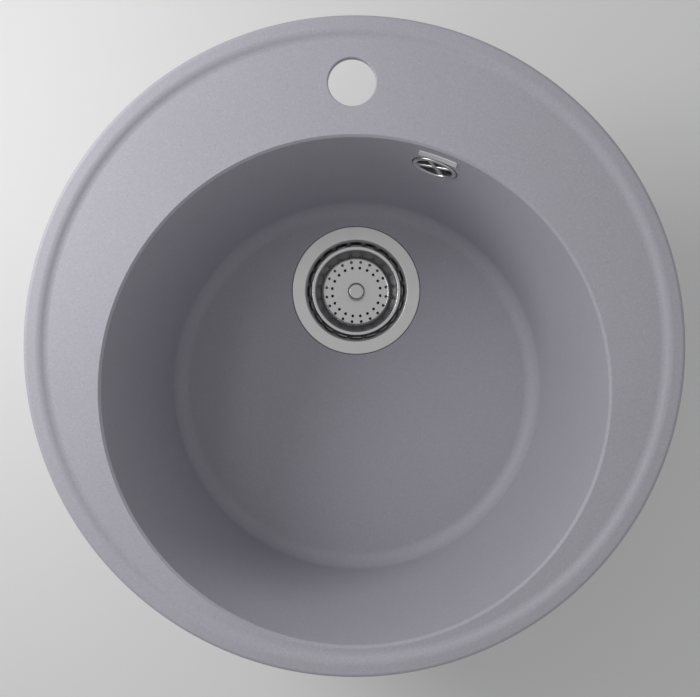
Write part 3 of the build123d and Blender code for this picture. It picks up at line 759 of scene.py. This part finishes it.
def makePipe():
    p = pipe
    route, length = pipeRoute()
    ribs = int((length - 2 * p["cuff"]) // p["pitch"])
    first = (length - ribs * p["pitch"]) / 2
    ribbed = [(p["crest"], first)]
    for rib in range(ribs):
        low = first + rib * p["pitch"]
        ribbed += [
            (p["valley"], low + p["flank"]), (p["valley"], low + p["flank"] + p["valleyWidth"]),
            (p["crest"], low + 2 * p["flank"] + p["valleyWidth"]),
            (p["crest"], low + p["pitch"] - p["ribGap"]),
        ]
    outline = [(p["bore"], 0), (p["crest"], 0)]
    outline += [(r, z, p["soften"]) for r, z in ribbed]
    outline += [(p["crest"], length), (p["bore"], length)]
    piece = solid("overflowPipe", turned(outline, p["steps"], backRows=p["boreRows"]))
    follow = piece.modifiers.new("route", "CURVE")
    follow.object = route
    follow.deform_axis = "POS_Z"
    settle(piece)
    bpy.data.objects.remove(route)
    print("pipe length", round(length, 1), "mm,", ribs, "ribs")
    present(piece, pipePlastic, "sink", "pipe_plastic", "overflow_pipe")


makeRosette()
makePipe()


# what screws together: threaded outlet of the waste body, clip screws

outlet = {
    "minor": 22.45, "major": 23.9, "pitch": 2.309, "bore": 20.0, "top": -249.0, "end": -272.0,
    "threadSteps": 72, "boreSteps": 96, "overrun": 5.0,
}


def makeBody():
    o = outlet
    chamber = bmesh.new()
    chamber.from_mesh(frame["nodes"]["waste_body"].data)
    mergeDoubles(chamber)
    cutting = cutLevel(chamber, o["top"], -1)
    rims = [g for g in cutting["geom_cut"] if isinstance(g, bmesh.types.BMEdge)]
    bmesh.ops.bridge_loops(chamber, edges=rims)
    facesOut(chamber)
    tail = solid("tail", threaded(o["minor"], o["major"], o["pitch"], o["end"], o["top"],
                                  o["threadSteps"]))
    carve(tail, drum(o["bore"], o["end"] - o["overrun"], o["top"] + o["overrun"], o["boreSteps"]))
    piece = solid("wasteBody", together([chamber, moved(shapeOf(tail), at(*wasteAt))]))
    if "custom_normal" in piece.data.attributes:  # the solid's normals don't fit the new shape
        piece.data.attributes.remove(piece.data.attributes["custom_normal"])
    present(piece, bodyPlastic, "sink", "moulded_plastic", "waste_body")


clipScrew = {
    "minor": 2.5, "major": 2.95, "pitch": 1.0, "low": -46.25, "high": -1.6, "threadSteps": 24,
    "washer": 6.5, "washerTop": -45.05, "washerRound": 0.35, "washerSteps": 64,
    "acrossFlats": 10.0, "headLow": -50.25, "headRound": 0.45,
}


def makeScrew(place):
    c = clipScrew
    shank = threaded(c["minor"], c["major"], c["pitch"], c["washerTop"], c["high"],
                     c["threadSteps"])
    washer = turned([
        (0, c["low"]), (c["washer"], c["low"], c["washerRound"]),
        (c["washer"], c["washerTop"], c["washerRound"]), (0, c["washerTop"]),
    ], c["washerSteps"])
    head = drum(c["acrossFlats"] / math.sqrt(3), c["headLow"], c["low"], 6)
    bottom = c["headLow"] * mm + weld
    under = [e for e in head.edges if all(v.co.z < bottom for v in e.verts)]
    bevelled(head, under, c["headRound"] * mm, segments=3)
    name = "clip_screw_" + place
    piece = solid("clipScrew_" + place, moved(together([shank, washer, head]), atClip(place)))
    present(piece, zinc, name, "zinc_steel", name)


makeBody()
for place in sink["clipTurns"]:
    makeScrew(place)


# floor, light and camera, in metres

stage = {
    "floorAt": -0.2725, "floorSize": 4, "floorColour": (0.82, 0.82, 0.82), "cloud": 3,
    "floorTones": ((0.3, 0.985), (0.7, 1.0)), "rough": 0.8, "specular": 0.2, "world": 0.44,
}


def makeStage():
    bm = bmesh.new()
    bmesh.ops.create_grid(bm, x_segments=1, y_segments=1, size=stage["floorSize"],
                          matrix=Matrix.Translation((0, 0, stage["floorAt"])))
    floor = solid("paleFloor", bm)
    finish, tree, shader = newFinish("paleFloor")
    drift = noise(tree, objectPlace(tree), stage["cloud"])
    wire(tree, shader, {
        "Base Color": shades(tree, drift, stage["floorColour"], stage["floorTones"]),
        "Roughness": stage["rough"], "Specular IOR Level": stage["specular"],
    })
    floor.data.materials.append(finish)
    world = bpy.data.worlds.new("studio")
    scene.world = world
    world.use_nodes = True
    sky = {"Color": (1, 1, 1, 1), "Strength": stage["world"]}
    wire(world.node_tree, world.node_tree.nodes["Background"], sky)


lamps = [
    {"name": "keyLamp", "at": (-0.6, 0.32, 0.42), "aim": (0, 0, -0.05),
     "size": (0.35, 0.35), "power": 4.0},
    {"name": "stripLamp", "at": (-0.42, 0.1, 0.62), "aim": (0, 0.052, -0.19),
     "size": (0.36, 0.08), "power": 0.32},
]


def makeLamps():
    for lamp in lamps:
        light = bpy.data.lights.new(lamp["name"], "AREA")
        light.shape = "ELLIPSE"
        light.size, light.size_y = lamp["size"]
        light.energy = lamp["power"]
        holder = inScene(lamp["name"], light)
        holder.location = lamp["at"]
        holder.visible_camera = False
        way = Vector(lamp["aim"]) - Vector(lamp["at"])
        holder.rotation_euler = way.to_track_quat("-Z", "Y").to_euler()


photoView = {
    "at": (0.0085, -0.0097, 0.818), "lens": 57.63, "sensor": 36, "shift": (-0.0233, 0.0156),
    "roll": -0.55, "near": 0.01,
}


def makeCamera():
    eye = bpy.data.cameras.new("photoCamera")
    eye.sensor_width = photoView["sensor"]
    eye.lens = photoView["lens"]
    eye.shift_x, eye.shift_y = photoView["shift"]
    eye.clip_start = photoView["near"]
    holder = inScene("photoCamera", eye)
    holder.location = photoView["at"]
    holder.rotation_euler = (0, 0, math.radians(photoView["roll"]))
    scene.camera = holder


makeStage()
makeLamps()
makeCamera()
scene.view_settings.view_transform = "Standard"
print("stage, lamps and camera set")
